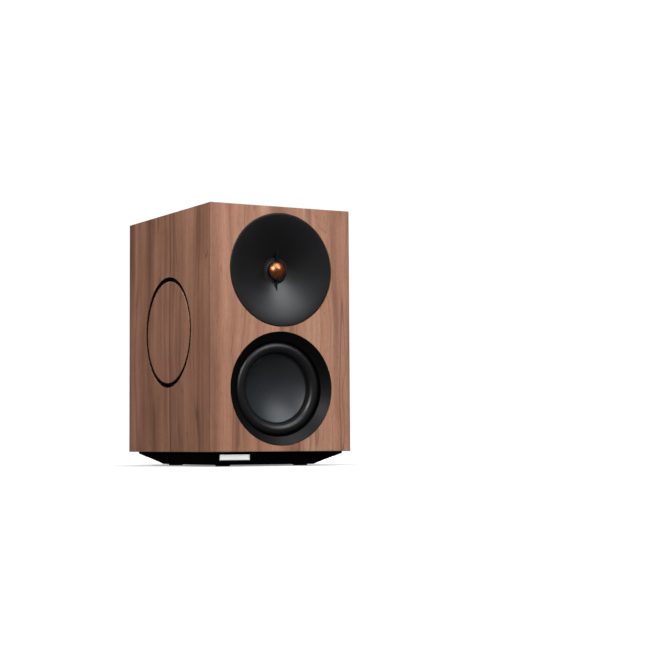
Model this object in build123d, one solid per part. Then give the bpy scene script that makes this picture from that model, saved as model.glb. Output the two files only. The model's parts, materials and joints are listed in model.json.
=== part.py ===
from build123d import *
from math import cos, radians, sin, sqrt
import os

# A two-way bookshelf loudspeaker with a passive radiator behind a cover disc on each side.
# Millimetres, +Z up, the front faces -Y. The origin is on the ground, at the middle of the footprint.
# A unit's depths are measured from the outer face that it is fitted in, into the cabinet.

# ---- Cabinet ----
cabinet_width = 192.0
cabinet_depth = 250.0
top_margin = 8.2              # cabinet top to the waveguide's rim
driver_gap = 6.0              # waveguide's rim to the woofer's trim ring
bottom_margin = 7.2           # trim ring to the cabinet's bottom
baffle_ledge = 5.0            # wood behind the woofer's flange
side_ledge = 6.0              # wood behind a radiator's flange
end_thickness = 15.0          # top and bottom panels
rear_thickness = 18.0
rear_recess = 1.5
edge_round = 0.8
fit_gap = 0.2                 # a round unit in its rebate, on the radius
brace_thickness = 12.0
brace_clearance = 8.0         # radiator hole to the brace
brace_motor_gap = 19.6        # tweeter's rear cap to the brace
brace_rear_gap = 47.5         # brace to the rear panel
brace_border = 24.0           # wood left round the brace's window
brace_corner = 14.4
wadding_thickness = 12.0
wadding_gap = 6.0             # wadding to the panels beside it

# ---- Base ----
pad_height = 1.6
pad_radius = 9.0
pad_seat = 1.0                # how far a rubber pad is let into the plinth
pad_inset = 12.0              # plinth's lower edge to a pad's centre
plinth_height = 16.0
plinth_rim = 2.2              # upright band under the cabinet
plinth_top_inset = (10.5, 3.0, 8.0)        # sides, front, back
plinth_bottom_inset = (30.0, 42.0, 44.0)   # sides, front, back
badge_size = (40.0, 2.0, 7.2)
badge_bevel = 0.9
badge_side_inset = 14.0       # cabinet's left face to the badge
badge_drop = 3.05             # cabinet's bottom to the badge
badge_setback = 3.2           # baffle plane to the badge's face
badge_boss_border = 1.2       # boss left round the badge
badge_boss_depth = 8.0
badge_seat = 1.0              # how far the badge is let into its boss
base_screw_spread = (96.0, 84.0)

# ---- Tweeter ----
waveguide_radius = 69.8
waveguide_flange = 6.0
waveguide_thread = 4.0        # how far its screws reach into the flange
flare_depth = 15.0
throat_radius = 16.3
flare_power = 1.5
waveguide_seat = 11.8         # width of the ledge that the flange rests on
flare_stations = (0, 0.11, 0.26, 0.48, 0.74, 1)    # shares of the way from the throat to the rim
tweeter_boss_radius = 40.0
tweeter_boss_depth = 20.4
guard_ring_inner = 10.4
guard_ring_outer = 11.6
guard_ring_front = 11.0
guard_ring_back = 16.8
fin_foot_width = 1.7
fin_tip_width = 0.5
fin_reach = 25.5              # axis to a fin's tip
guard_rise = 6.2
guard_rim_setback = 0.5       # ring's front to the mesh's rim
guard_thickness = 0.5
guard_hole_radius = 0.72
guard_pitch = 2.45
rib_ring_front = 15.6
rib_ring_back = 17.4
rib_count = 32
rib_width = 0.7
tweeter_coil_radius = 12.4
tweeter_coil_wall = 0.4
tweeter_gap = 0.6             # coil to the steel on either side of it
tweeter_dome_rise = 4.0
dome_wall = 0.3
tweeter_roll_radius = 1.4
tweeter_plate_thickness = 4.0
tweeter_plate_radius = 39.5
tweeter_magnet_radius = 31.0
tweeter_magnet_bore = 18.0
tweeter_magnet_thickness = 7.0
tweeter_cap_radius = 20.0
tweeter_cap_length = 12.0

# ---- Woofer ----
trim_radius = 69.5
trim_lip = 0.5
trim_width = 10.7
trim_funnel_depth = 8.0
woofer_roll_radius = 7.4
woofer_roll_margin = 18.9     # trim ring's edge to the middle of the surround's roll
woofer_crest_depth = 7.5
woofer_skin = 0.9
surround_seat_margin = 6.9    # trim ring's edge to the surround's outer edge
woofer_glue_land = 2.2
basket_flange = 4.1
woofer_seat = 6.0             # width of the ledge that the basket's flange rests on
dish_depth = 12.0
cone_wall = 0.8
woofer_coil_radius = 15.7     # inside of the former
former_wall = 0.4
winding_wall = 0.5
woofer_gap = 0.5
spider_depth = 34.0
spider_radius = 38.0
basket_floor_depth = 42.0
basket_floor_radius = 46.0
woofer_plate_thickness = 5.0
woofer_magnet_radius = 39.0
woofer_magnet_bore = 21.0
woofer_magnet_thickness = 13.0
yoke_plate_thickness = 5.0
winding_length = 15.0
basket_window_count = 6

# ---- Side radiators and their cover discs ----
disc_radius = 64.2
slot_width = 5.4
disc_thickness = 6.0
disc_recess = 0.3
radiator_rebate = 14.0        # depth of the opening's ledge
radiator_seat = 9.4           # width of the ledge that a radiator's flange rests on
radiator_flange = 3.0
radiator_wall = 2.0
radiator_seat_depth = 20.5
radiator_seat_thickness = 2.5
radiator_roll_radius = 5.8
radiator_skin = 0.8
radiator_glue_land = 3.5
radiator_cone_wall = 1.5
radiator_dish = 4.0
weight_radius = 16.0
weight_thickness = 4.0
carrier_plate = 2.0
carrier_width = 17.6
carrier_post_radius = 2.6
carrier_inset = 0.6           # disc's edge to the carrier's edge
carrier_post_inset = 1.0      # carrier's edge to a post
carrier_post_count = 6

# ---- Terminals ----
cup_size = (84.0, 62.0)       # flange, across and up
cup_border = 7.0              # flange left outside the pocket
cup_flange = 2.5
cup_flange_recess = 0.3
cup_wall = 2.0
cup_pocket_depth = 27.0
cup_height = 84.0             # cabinet's bottom to the cup's centre
cup_corner = 5.0
post_spacing = 19.0
post_radius = 3.0
post_collar_radius = 6.2
post_collar_length = 6.0
post_tail = 7.0               # post's length inside the cabinet
socket_radius = 2.0
socket_depth = 12.0
washer_thickness = 2.5
nut_radius = 6.6
nut_length = 12.5
nut_gap = 0.3                 # nut and washer round the post, on the radius
nut_flutes = 16
flute_radius = 0.7

# ---- Crossover ----
board_size = (112.0, 84.0, 1.6)
board_clearance = 5.0         # spacer height
board_forward = 8.0           # board's centre in front of the cabinet's centre
spacer_radius = 4.0
board_corner_inset = 7.0
woofer_inductor_size = (19.0, 8.0, 16.0)   # outer radius, bore radius, height
tweeter_inductor_size = (12.0, 5.0, 11.0)
capacitor_size = (9.0, 34.0)               # radius, length
resistor_size = (34.0, 9.0, 8.0)
board_hole = 1.6
woofer_inductor_spot = (-28.0, 6.0)        # from the board's middle
tweeter_inductor_spot = (34.0, 18.0)
capacitor_spot = (24.0, -22.0)
resistor_spot = (-28.0, -28.0)
tweeter_lead_spot = 30.0
lead_radius = 1.5
lead_bend = 12.0
lead_run = 18.0               # straight part at a lead's end
lead_board_inset = 4.5        # board's edge to a lead

# ---- Fasteners ----
driver_screw = (1.75, 3.0, 2.0)            # shaft radius, head radius, head height
screw_end_gap = 0.6                        # wood left past a driver screw's tip
motor_screw = (1.4, 2.6, 1.8)
motor_screw_length = 10.0
cup_screw = (1.5, 2.8, 1.6)
cup_screw_length = 12.0
base_screw = (2.0, 3.8, 2.6)
base_screw_length = 14.0
base_screw_web = 4.0                       # plinth left above a base screw's head
waveguide_screw_count = 4
waveguide_screw_start = 45.0               # angle of the first screw
woofer_screw_count = 6
radiator_screw_count = 6
radiator_screw_start = 15.0
motor_screw_count = 4

# ---- Places that follow from the sizes ----
opening_radius = disc_radius + slot_width
radiator_hole = opening_radius - radiator_seat
waveguide_hole = waveguide_radius - waveguide_seat
woofer_hole = trim_radius - woofer_seat
trim_inner_radius = trim_radius - trim_width
woofer_roll_centre = trim_radius - woofer_roll_margin
surround_seat_radius = trim_radius - surround_seat_margin
surround_edge = woofer_crest_depth + woofer_roll_radius     # front of the woofer surround's flanges
woofer_rebate = surround_edge + basket_flange
baffle_thickness = woofer_rebate + baffle_ledge
side_thickness = radiator_rebate + side_ledge
cabinet_bottom = pad_height + plinth_height
woofer_z = cabinet_bottom + bottom_margin + trim_radius
tweeter_z = woofer_z + trim_radius + driver_gap + waveguide_radius
cabinet_top = tweeter_z + waveguide_radius + top_margin
cabinet_height = cabinet_top - cabinet_bottom
radiator_z = (cabinet_bottom + cabinet_top) / 2
front_y = -cabinet_depth / 2
rear_y = cabinet_depth / 2
inner_x = cabinet_width / 2 - side_thickness
inner_front_y = front_y + baffle_thickness
inner_rear_y = rear_y - rear_recess - rear_thickness
inner_bottom = cabinet_bottom + end_thickness
inner_top = cabinet_top - end_thickness
cup_z = cabinet_bottom + cup_height
cup_floor_y = rear_y - rear_recess - cup_flange_recess - cup_pocket_depth

board_top = inner_bottom + board_clearance + board_size[2]

# Woofer depths
cone_edge = surround_edge + woofer_skin                     # front of the cone's glue land
cone_radius = woofer_roll_centre - woofer_roll_radius
dish_radius = cone_radius - woofer_glue_land
plate_depth = basket_floor_depth
magnet_depth = plate_depth + woofer_plate_thickness
yoke_depth = magnet_depth + woofer_magnet_thickness
winding_outer = woofer_coil_radius + former_wall + winding_wall
woofer_screw_circle = (woofer_hole + trim_radius) / 2
woofer_screw_length = basket_flange + baffle_ledge - screw_end_gap
waveguide_screw_circle = (waveguide_hole + waveguide_radius) / 2
waveguide_screw_length = baffle_thickness - waveguide_flange + waveguide_thread

# Tweeter depths
tweeter_magnet_depth = tweeter_boss_depth + tweeter_plate_thickness
tweeter_yoke_depth = tweeter_magnet_depth + tweeter_magnet_thickness
tweeter_yoke_back = tweeter_yoke_depth + tweeter_plate_thickness
motor_screw_circle = (tweeter_magnet_radius + tweeter_plate_radius) / 2

# Radiator depths and radii
radiator_flange_front = radiator_rebate - radiator_flange
radiator_frame_radius = radiator_hole - 0.5
radiator_roll_outer = radiator_frame_radius - radiator_wall - radiator_glue_land
radiator_roll_centre = radiator_roll_outer - radiator_roll_radius
radiator_cone_radius = radiator_roll_centre - radiator_roll_radius
radiator_edge = radiator_seat_depth - radiator_skin
radiator_screw_circle = (radiator_hole + opening_radius) / 2
radiator_screw_length = radiator_flange + side_ledge - screw_end_gap
carrier_front = disc_recess + disc_thickness
carrier_radius = disc_radius - carrier_inset
carrier_inner_radius = carrier_radius - carrier_width
carrier_post_circle = carrier_radius - carrier_post_inset - carrier_post_radius

UP = (Align.CENTER, Align.CENTER, Align.MIN)
DOWN = (Align.CENTER, Align.CENTER, Align.MAX)
os.makedirs("parts", exist_ok=True)


def save(name, *solids):
    """Write one node, which is one solid or a group of alike solids."""
    export_step(solids[0] if len(solids) == 1 else Compound(list(solids)), f"parts/{name}.step")


def front_unit(height):
    """Where a unit in the baffle sits: local Z is the depth behind the baffle's face."""
    return Plane(origin=(0, front_y, height), x_dir=(1, 0, 0), z_dir=(0, 1, 0)).location


def side_unit(side):
    """Where a unit in a side panel sits: local Z is the depth behind the panel's outer face."""
    origin = (side * cabinet_width / 2, 0, radiator_z)
    return Plane(origin=origin, x_dir=(0, 1, 0), z_dir=(-side, 0, 0)).location


def terminal_unit(across):
    """Where a terminal sits: local Z points out of the rear from the cup's floor."""
    return Plane(origin=(across, cup_floor_y, cup_z), x_dir=(1, 0, 0), z_dir=(0, 1, 0)).location


def turned(*outline):
    """Turn a closed outline of edges, drawn as radius and depth, about the depth axis."""
    return revolve(Plane.XZ * make_face(outline), Axis.Z)


def turned_points(*points):
    """Turn a closed outline of straight lines, given as (radius, depth) points."""
    return turned(Polyline(*points, close=True))


def tube(outer, inner, front, back):
    """A plain ring between two depths."""
    return turned_points((inner, front), (outer, front), (outer, back), (inner, back))


def screw(size, length):
    """A screw driven along +Z, with the underside of its head at the origin."""
    shaft_radius, head_radius, head_height = size
    shaft = Cylinder(shaft_radius, length, align=UP)
    head = Cylinder(head_radius, head_height, align=DOWN)
    socket = Pos(0, 0, -head_height) * extrude(RegularPolygon(head_radius * 0.45, 6), head_height * 0.55)
    return shaft + fillet(head.faces().sort_by(Axis.Z)[0].edges(), head_height * 0.3) - socket


def ring_of(radius, count, start, shape):
    """Copies of a shape on a circle about the depth axis."""
    return [place * shape for place in PolarLocations(radius, count, start)]


def screw_holes(radius, count, start, shaft_radius, front, back):
    """Straight holes on a circle, as solids to cut away."""
    hole = Pos(0, 0, front) * Cylinder(shaft_radius, back - front, align=UP)
    return ring_of(radius, count, start, hole)


def half_roll(centre, roll, skin, edge, inner, outer, side=-1):
    """A half-roll surround with a flat glue flange on each side. Its crest points to side * Z."""
    back = edge + skin if side < 0 else edge - skin
    crest = edge + side * roll
    inside = roll - skin
    return turned(
        Polyline((inner, back), (inner, edge), (centre - roll, edge)),
        ThreePointArc((centre - roll, edge), (centre, crest), (centre + roll, edge)),
        Polyline((centre + roll, edge), (outer, edge), (outer, back), (centre + inside, back),
                 (centre + inside, edge)),
        ThreePointArc((centre + inside, edge), (centre, edge + side * inside), (centre - inside, edge)),
        Polyline((centre - inside, edge), (centre - inside, back), (inner, back)),
    )


# ---- Cabinet ----

def envelope():
    """The whole box with its slightly rounded edges, which trims every panel."""
    box = Pos(0, 0, cabinet_bottom) * Box(cabinet_width, cabinet_depth, cabinet_height, align=UP)
    return fillet(box.edges(), edge_round)


def box_panel(points):
    """A mitred panel of the carcass: an outline across the cabinet, run from the baffle to the rear."""
    face = Plane.XZ * make_face(Polyline(*points, close=True))
    return Pos(0, rear_y, 0) * extrude(face, rear_y - inner_front_y) & envelope()


def cabinet():
    half = cabinet_width / 2
    baffle = Pos(0, front_y, cabinet_bottom) * Box(
        cabinet_width, baffle_thickness, cabinet_height, align=(Align.CENTER, Align.MIN, Align.MIN))
    baffle &= envelope()
    tweeter_cuts = [
        Cylinder(waveguide_radius + fit_gap, waveguide_flange, align=UP),
        Cylinder(waveguide_hole, baffle_thickness, align=UP),
        *screw_holes(waveguide_screw_circle, waveguide_screw_count, waveguide_screw_start,
                     driver_screw[0] + fit_gap, 0, baffle_thickness)]
    woofer_cuts = [
        Cylinder(trim_radius + fit_gap, woofer_rebate, align=UP),
        Cylinder(woofer_hole, baffle_thickness, align=UP),
        *screw_holes(woofer_screw_circle, woofer_screw_count, 0, driver_screw[0], 0,
                     surround_edge + woofer_screw_length)]
    baffle -= [front_unit(tweeter_z) * cut for cut in tweeter_cuts]
    baffle -= [front_unit(woofer_z) * cut for cut in woofer_cuts]
    save("front_baffle", baffle)

    for name, side in (("left", -1), ("right", 1)):
        panel = box_panel([(side * half, cabinet_bottom), (side * half, cabinet_top),
                           (side * inner_x, inner_top), (side * inner_x, inner_bottom)])
        cuts = [
            Cylinder(opening_radius, radiator_rebate, align=UP),
            Cylinder(radiator_hole, side_thickness, align=UP),
            *screw_holes(radiator_screw_circle, radiator_screw_count, radiator_screw_start, driver_screw[0],
                         0, radiator_flange_front + radiator_screw_length)]
        save(f"{name}_side_panel", panel - [side_unit(side) * cut for cut in cuts])

    save("top_panel", box_panel([(-half, cabinet_top), (half, cabinet_top),
                                 (inner_x, inner_top), (-inner_x, inner_top)]))
    bottom = box_panel([(-half, cabinet_bottom), (half, cabinet_bottom),
                        (inner_x, inner_bottom), (-inner_x, inner_bottom)])
    hole = Cylinder(base_screw[0], base_screw_length - base_screw_web, align=UP)
    save("bottom_panel", bottom - [Pos(0, 0, cabinet_bottom) * place * hole for place in base_screw_places()])

    rear = Pos(0, inner_rear_y, inner_bottom) * Box(
        2 * inner_x, rear_thickness, inner_top - inner_bottom, align=(Align.CENTER, Align.MIN, Align.MIN))
    across, up = cup_size
    recess = cup_flange + cup_flange_recess
    margin = 2 * (cup_border - cup_wall - fit_gap)
    pocket = (across - margin, up - margin)
    rear_face = Plane(origin=(0, rear_y - rear_recess, cup_z), x_dir=(1, 0, 0), z_dir=(0, -1, 0)).location
    rear -= rear_face * extrude(RectangleRounded(across + 2 * fit_gap, up + 2 * fit_gap, cup_corner), recess)
    rear -= rear_face * extrude(RectangleRounded(*pocket, cup_corner), rear_thickness)
    pilot = Pos(0, 0, recess) * Cylinder(cup_screw[0], cup_screw_length - cup_flange, align=UP)
    rear -= [rear_face * place * pilot for place in cup_screw_places()]
    save("rear_panel", rear)

    brace_front = front_y + tweeter_yoke_back + tweeter_cap_length + brace_motor_gap
    brace_rear = inner_rear_y - brace_rear_gap
    brace_place = Pos(0, (brace_front + brace_rear) / 2, radiator_z + radiator_hole + brace_clearance)
    brace_depth = brace_rear - brace_front
    window_depth = brace_depth - 2 * brace_border
    window = RectangleRounded(2 * (inner_x - brace_border), window_depth, min(brace_corner, window_depth / 3))
    brace = Box(2 * inner_x, brace_depth, brace_thickness, align=UP) - extrude(window, brace_thickness)
    save("internal_brace", brace_place * brace)

    wadding_bottom = cup_z + cup_size[1] / 2 + wadding_gap
    wadding = Pos(0, inner_rear_y, wadding_bottom) * Box(
        2 * (inner_x - wadding_gap), wadding_thickness, inner_top - wadding_gap - wadding_bottom,
        align=(Align.CENTER, Align.MAX, Align.MIN))
    save("rear_wadding", wadding)


# ---- Tweeter ----

def flare(radius):
    """Depth of the waveguide's surface at a radius."""
    share = (waveguide_radius - radius) / (waveguide_radius - throat_radius)
    return flare_depth * share ** flare_power


def waveguide():
    stations = [throat_radius + share * (waveguide_radius - throat_radius) for share in flare_stations]
    horn = Spline(*[(radius, flare(radius)) for radius in stations])
    pocket = tweeter_boss_depth - 0.6
    body = turned(horn, Polyline(
        (waveguide_radius, 0), (waveguide_radius, waveguide_flange),
        (waveguide_hole - fit_gap, waveguide_flange), (tweeter_boss_radius + 2, flare_depth - 3),
        (tweeter_boss_radius, flare_depth - 1), (tweeter_boss_radius, tweeter_boss_depth),
        (throat_radius + 2, tweeter_boss_depth), (throat_radius + 2, pocket), (throat_radius, pocket),
        (throat_radius, flare_depth)))
    rim_threads = screw_holes(waveguide_screw_circle, waveguide_screw_count, waveguide_screw_start,
                              driver_screw[0], baffle_thickness - waveguide_screw_length, waveguide_flange)
    motor_threads = screw_holes(motor_screw_circle, motor_screw_count, 0, motor_screw[0],
                                tweeter_magnet_depth - motor_screw_length, tweeter_boss_depth)
    return body - rim_threads - motor_threads


def guard_bridge(horn):
    """The thin ring over the throat and the two fins that hold it to the horn."""
    ring = tube(guard_ring_outer, guard_ring_inner, guard_ring_front, guard_ring_back)
    middle = (guard_ring_inner + guard_ring_outer) / 2
    outline = make_face(Polyline(
        (middle, guard_ring_front + 0.2), (fin_reach, flare(fin_reach) - 0.15), (fin_reach, flare_depth),
        (throat_radius, flare_depth), (middle, rib_ring_front), close=True))
    wedge = make_face(Polyline(
        (middle, -fin_foot_width / 2), (fin_reach, -fin_tip_width / 2), (fin_reach, fin_tip_width / 2),
        (middle, fin_foot_width / 2), close=True))
    fin = extrude(Plane.XZ * outline, fin_foot_width / 2, both=True) & extrude(wedge, 2 * flare_depth)
    fins = [Rot(0, 0, turn) * fin for turn in (90, 270)]
    return ring + fins - Cylinder(guard_ring_inner, flare_depth * 2, align=UP) - horn


def guard_mesh():
    """The perforated dome inside the ring."""
    rim = guard_ring_inner
    outer = (rim ** 2 + guard_rise ** 2) / (2 * guard_rise)
    rim_depth = guard_ring_front + guard_rim_setback
    centre = rim_depth - guard_rise + outer
    shell = Pos(0, 0, centre) * (Sphere(outer) - Sphere(outer - guard_thickness))
    shell = shell & Pos(0, 0, rim_depth) * Cylinder(rim, 2 * guard_rise, align=DOWN)
    row_step = guard_pitch * sqrt(3) / 2
    holes = []
    for row in range(-4, 5):
        for column in range(-5, 6):
            x = guard_pitch * (column + row % 2 / 2)
            y = row_step * row
            if sqrt(x ** 2 + y ** 2) < rim - 1.4 * guard_hole_radius:
                holes.append(Pos(x, y, 0) * Cylinder(guard_hole_radius, rim_depth, align=UP))
    return shell - holes


def throat_comb():
    """Inner and outer rings joined by fine ribs."""
    inner = guard_ring_outer + 0.2
    outer = throat_radius
    wall = 0.7
    length = outer - inner - wall
    rib = Pos(0, 0, rib_ring_front) * Box(length, rib_width, rib_ring_back - rib_ring_front, align=UP)
    comb = tube(inner + wall, inner, rib_ring_front, rib_ring_back)
    comb += tube(outer, outer - wall, rib_ring_front, rib_ring_back)
    return comb + ring_of((inner + outer) / 2, rib_count, 0, rib)


def tweeter():
    unit = front_unit(tweeter_z)
    horn = waveguide()
    save("tweeter_waveguide", unit * horn)
    save("tweeter_bridge", unit * guard_bridge(horn))
    save("tweeter_grille", unit * guard_mesh())
    save("tweeter_throat_ring", unit * throat_comb())

    coil = tweeter_coil_radius
    rim_depth = tweeter_boss_depth - 0.1
    surface = (coil ** 2 + tweeter_dome_rise ** 2) / (2 * tweeter_dome_rise)
    centre = rim_depth - tweeter_dome_rise + surface
    cap = Pos(0, 0, centre) * (Sphere(surface) - Sphere(surface - dome_wall))
    cap = cap & Pos(0, 0, rim_depth) * Cylinder(coil, 2 * tweeter_dome_rise, align=DOWN)
    save("tweeter_dome", unit * cap)
    winding = tube(coil, coil - tweeter_coil_wall, rim_depth, tweeter_magnet_depth + 1.2)
    save("tweeter_voice_coil", unit * winding)
    roll_centre = coil + 0.05 + tweeter_roll_radius
    skin = 0.3
    edge = tweeter_boss_depth - 0.1 - skin
    save("tweeter_surround", unit * half_roll(
        roll_centre, tweeter_roll_radius, skin, edge, coil + 0.02, throat_radius + 1.8))

    bore = coil + tweeter_gap
    plate = tube(tweeter_plate_radius, bore, tweeter_boss_depth, tweeter_magnet_depth)
    holes = screw_holes(motor_screw_circle, motor_screw_count, 0, motor_screw[0] + fit_gap,
                        tweeter_boss_depth, tweeter_magnet_depth)
    save("tweeter_top_plate", unit * (plate - holes))
    save("tweeter_magnet", unit * tube(tweeter_magnet_radius, tweeter_magnet_bore, tweeter_magnet_depth,
                                       tweeter_yoke_depth))
    pole = coil - tweeter_coil_wall - tweeter_gap
    pole_front = tweeter_boss_depth + 1.0
    vent = 3.0
    save("tweeter_yoke", unit * turned_points(
        (vent, pole_front), (pole, pole_front), (pole, tweeter_yoke_depth),
        (tweeter_magnet_radius - 1, tweeter_yoke_depth), (tweeter_magnet_radius - 1, tweeter_yoke_back),
        (vent, tweeter_yoke_back)))
    cap = Cylinder(tweeter_cap_radius, tweeter_cap_length, align=UP)
    cap = fillet(cap.faces().sort_by(Axis.Z)[-1].edges(), 3.0)
    cap -= Cylinder(tweeter_cap_radius - 2, tweeter_cap_length - 2, align=UP)
    save("tweeter_rear_cap", unit * Pos(0, 0, tweeter_yoke_back) * cap)


# ---- Woofer ----

def woofer_basket():
    body = turned_points(
        (trim_inner_radius - 1.8, cone_edge), (surround_seat_radius + 0.1, cone_edge),
        (surround_seat_radius + 0.1, surround_edge), (trim_radius - 0.1, surround_edge),
        (trim_radius - 0.1, woofer_rebate), (woofer_hole - 3.5, woofer_rebate),
        (basket_floor_radius, spider_depth + 2), (basket_floor_radius, basket_floor_depth),
        (winding_outer + 2, basket_floor_depth), (winding_outer + 2, basket_floor_depth - 2),
        (spider_radius - 4, basket_floor_depth - 2), (spider_radius - 4, spider_depth + 0.8),
        (spider_radius + 0.4, spider_depth + 0.8), (trim_inner_radius - 1.8, woofer_rebate - 0.5))
    window_depth = (woofer_rebate + spider_depth) / 2
    window = Pos(0, 0, window_depth) * Box(34, 24, spider_depth - woofer_rebate - 4)
    window_circle = (woofer_hole + basket_floor_radius) / 2
    holes = screw_holes(woofer_screw_circle, woofer_screw_count, 0, driver_screw[0] + 0.1,
                        surround_edge, woofer_rebate)
    return body - ring_of(window_circle, basket_window_count, 30, window) - holes


def woofer():
    unit = front_unit(woofer_z)
    trim = turned_points(
        (trim_radius, 0), (trim_radius, surround_edge), (trim_inner_radius, surround_edge),
        (trim_inner_radius, trim_funnel_depth), (trim_radius - trim_lip, 0))
    head_room = Cylinder(driver_screw[1] + 2 * fit_gap, driver_screw[2] + 3 * fit_gap, align=DOWN)
    head_room = Pos(0, 0, surround_edge) * head_room
    save("woofer_trim_ring", unit * (trim - ring_of(woofer_screw_circle, woofer_screw_count, 0, head_room)))
    save("woofer_basket", unit * woofer_basket())
    save("woofer_surround", unit * half_roll(
        woofer_roll_centre, woofer_roll_radius, woofer_skin, surround_edge, dish_radius,
        surround_seat_radius))

    surface = (dish_radius ** 2 + dish_depth ** 2) / (2 * dish_depth)
    centre = cone_edge + dish_depth - surface
    back = cone_edge + cone_wall
    back_rim = sqrt((surface + cone_wall) ** 2 - (back - centre) ** 2)
    slope = radians(30)
    front_mid = (dish_radius * 0.5, centre + sqrt(surface ** 2 - (dish_radius * 0.5) ** 2))
    back_mid = (surface + cone_wall) * sin(slope / 2), centre + (surface + cone_wall) * cos(slope / 2)
    save("woofer_cone", unit * turned(
        ThreePointArc((0, centre + surface), front_mid, (dish_radius, cone_edge)),
        Polyline((dish_radius, cone_edge), (cone_radius, cone_edge), (cone_radius, back), (back_rim, back)),
        ThreePointArc((back_rim, back), back_mid, (0, centre + surface + cone_wall)),
        Line((0, centre + surface + cone_wall), (0, centre + surface))))

    winding_front = (plate_depth + magnet_depth - winding_length) / 2
    former = turned_points(
        (woofer_coil_radius, cone_edge), (woofer_coil_radius + former_wall, cone_edge),
        (woofer_coil_radius + former_wall, winding_front), (winding_outer, winding_front),
        (winding_outer, winding_front + winding_length),
        (woofer_coil_radius, winding_front + winding_length))
    save("woofer_voice_coil", unit * (former - Pos(0, 0, centre) * Sphere(surface + cone_wall)))
    save("woofer_spider", unit * tube(spider_radius, woofer_coil_radius + former_wall, spider_depth,
                                      spider_depth + 0.8))
    save("woofer_top_plate", unit * tube(woofer_magnet_radius + 1, winding_outer + woofer_gap,
                                         plate_depth, magnet_depth))
    save("woofer_magnet", unit * tube(woofer_magnet_radius, woofer_magnet_bore, magnet_depth, yoke_depth))
    pole = woofer_coil_radius - woofer_gap
    vent = 4.0
    yoke_back = yoke_depth + yoke_plate_thickness
    save("woofer_yoke", unit * turned_points(
        (vent, plate_depth - 0.5), (pole, plate_depth - 0.5), (pole, yoke_depth),
        (woofer_magnet_radius - 1, yoke_depth), (woofer_magnet_radius - 1, yoke_back), (vent, yoke_back)))


# ---- Side radiators ----

def radiator(name, side):
    unit = side_unit(side)
    frame_inner = radiator_frame_radius - radiator_wall
    seat_back = radiator_seat_depth + radiator_seat_thickness
    frame = turned_points(
        (frame_inner, radiator_flange_front), (opening_radius - fit_gap, radiator_flange_front),
        (opening_radius - fit_gap, radiator_rebate), (radiator_frame_radius, radiator_rebate),
        (radiator_frame_radius, seat_back), (radiator_roll_outer - 1, seat_back),
        (radiator_roll_outer - 1, radiator_seat_depth), (frame_inner, radiator_seat_depth))
    holes = screw_holes(radiator_screw_circle, radiator_screw_count, radiator_screw_start,
                        driver_screw[0] + 0.1, radiator_flange_front, radiator_rebate)
    save(f"{name}_radiator_frame", unit * (frame - holes))
    save(f"{name}_radiator_surround", unit * half_roll(
        radiator_roll_centre, radiator_roll_radius, radiator_skin, radiator_edge,
        radiator_cone_radius - radiator_glue_land, frame_inner))

    land = radiator_cone_radius - radiator_glue_land
    front = radiator_seat_depth
    back = front + radiator_cone_wall
    save(f"{name}_radiator_cone", unit * turned_points(
        (0, front + radiator_dish), (weight_radius, front + radiator_dish), (land, front),
        (radiator_cone_radius, front), (radiator_cone_radius, back), (land + 0.3, back),
        (weight_radius + 0.3, back + radiator_dish), (0, back + radiator_dish)))
    weight = Pos(0, 0, back + radiator_dish) * Cylinder(weight_radius, weight_thickness, align=UP)
    save(f"{name}_radiator_weight", unit * chamfer(weight.faces().sort_by(Axis.Z)[-1].edges(), 0.8))

    disc = Pos(0, 0, disc_recess) * Cylinder(disc_radius, disc_thickness, align=UP)
    save(f"{name}_cover_disc", unit * fillet(disc.faces().sort_by(Axis.Z)[0].edges(), edge_round))
    plate = tube(carrier_radius, carrier_inner_radius, carrier_front, carrier_front + carrier_plate)
    post = Cylinder(carrier_post_radius, radiator_flange_front - carrier_front, align=UP)
    post = Pos(0, 0, carrier_front) * post
    save(f"{name}_disc_carrier", unit * (plate + ring_of(carrier_post_circle, carrier_post_count, 30, post)))


# ---- Base ----

def plinth_outline(inset, height):
    """A rectangle of the plinth at a height, from its insets at the sides, front and back."""
    sides, front, back = inset
    length = cabinet_depth - front - back
    return Pos(0, (front - back) / 2, height) * Rectangle(cabinet_width - 2 * sides, length)


def base_screw_places():
    return GridLocations(*base_screw_spread, 2, 2)


def badge_place():
    return Pos(-cabinet_width / 2 + badge_side_inset + badge_size[0] / 2, front_y + badge_setback,
               cabinet_bottom - badge_drop - badge_size[2] / 2)


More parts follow.
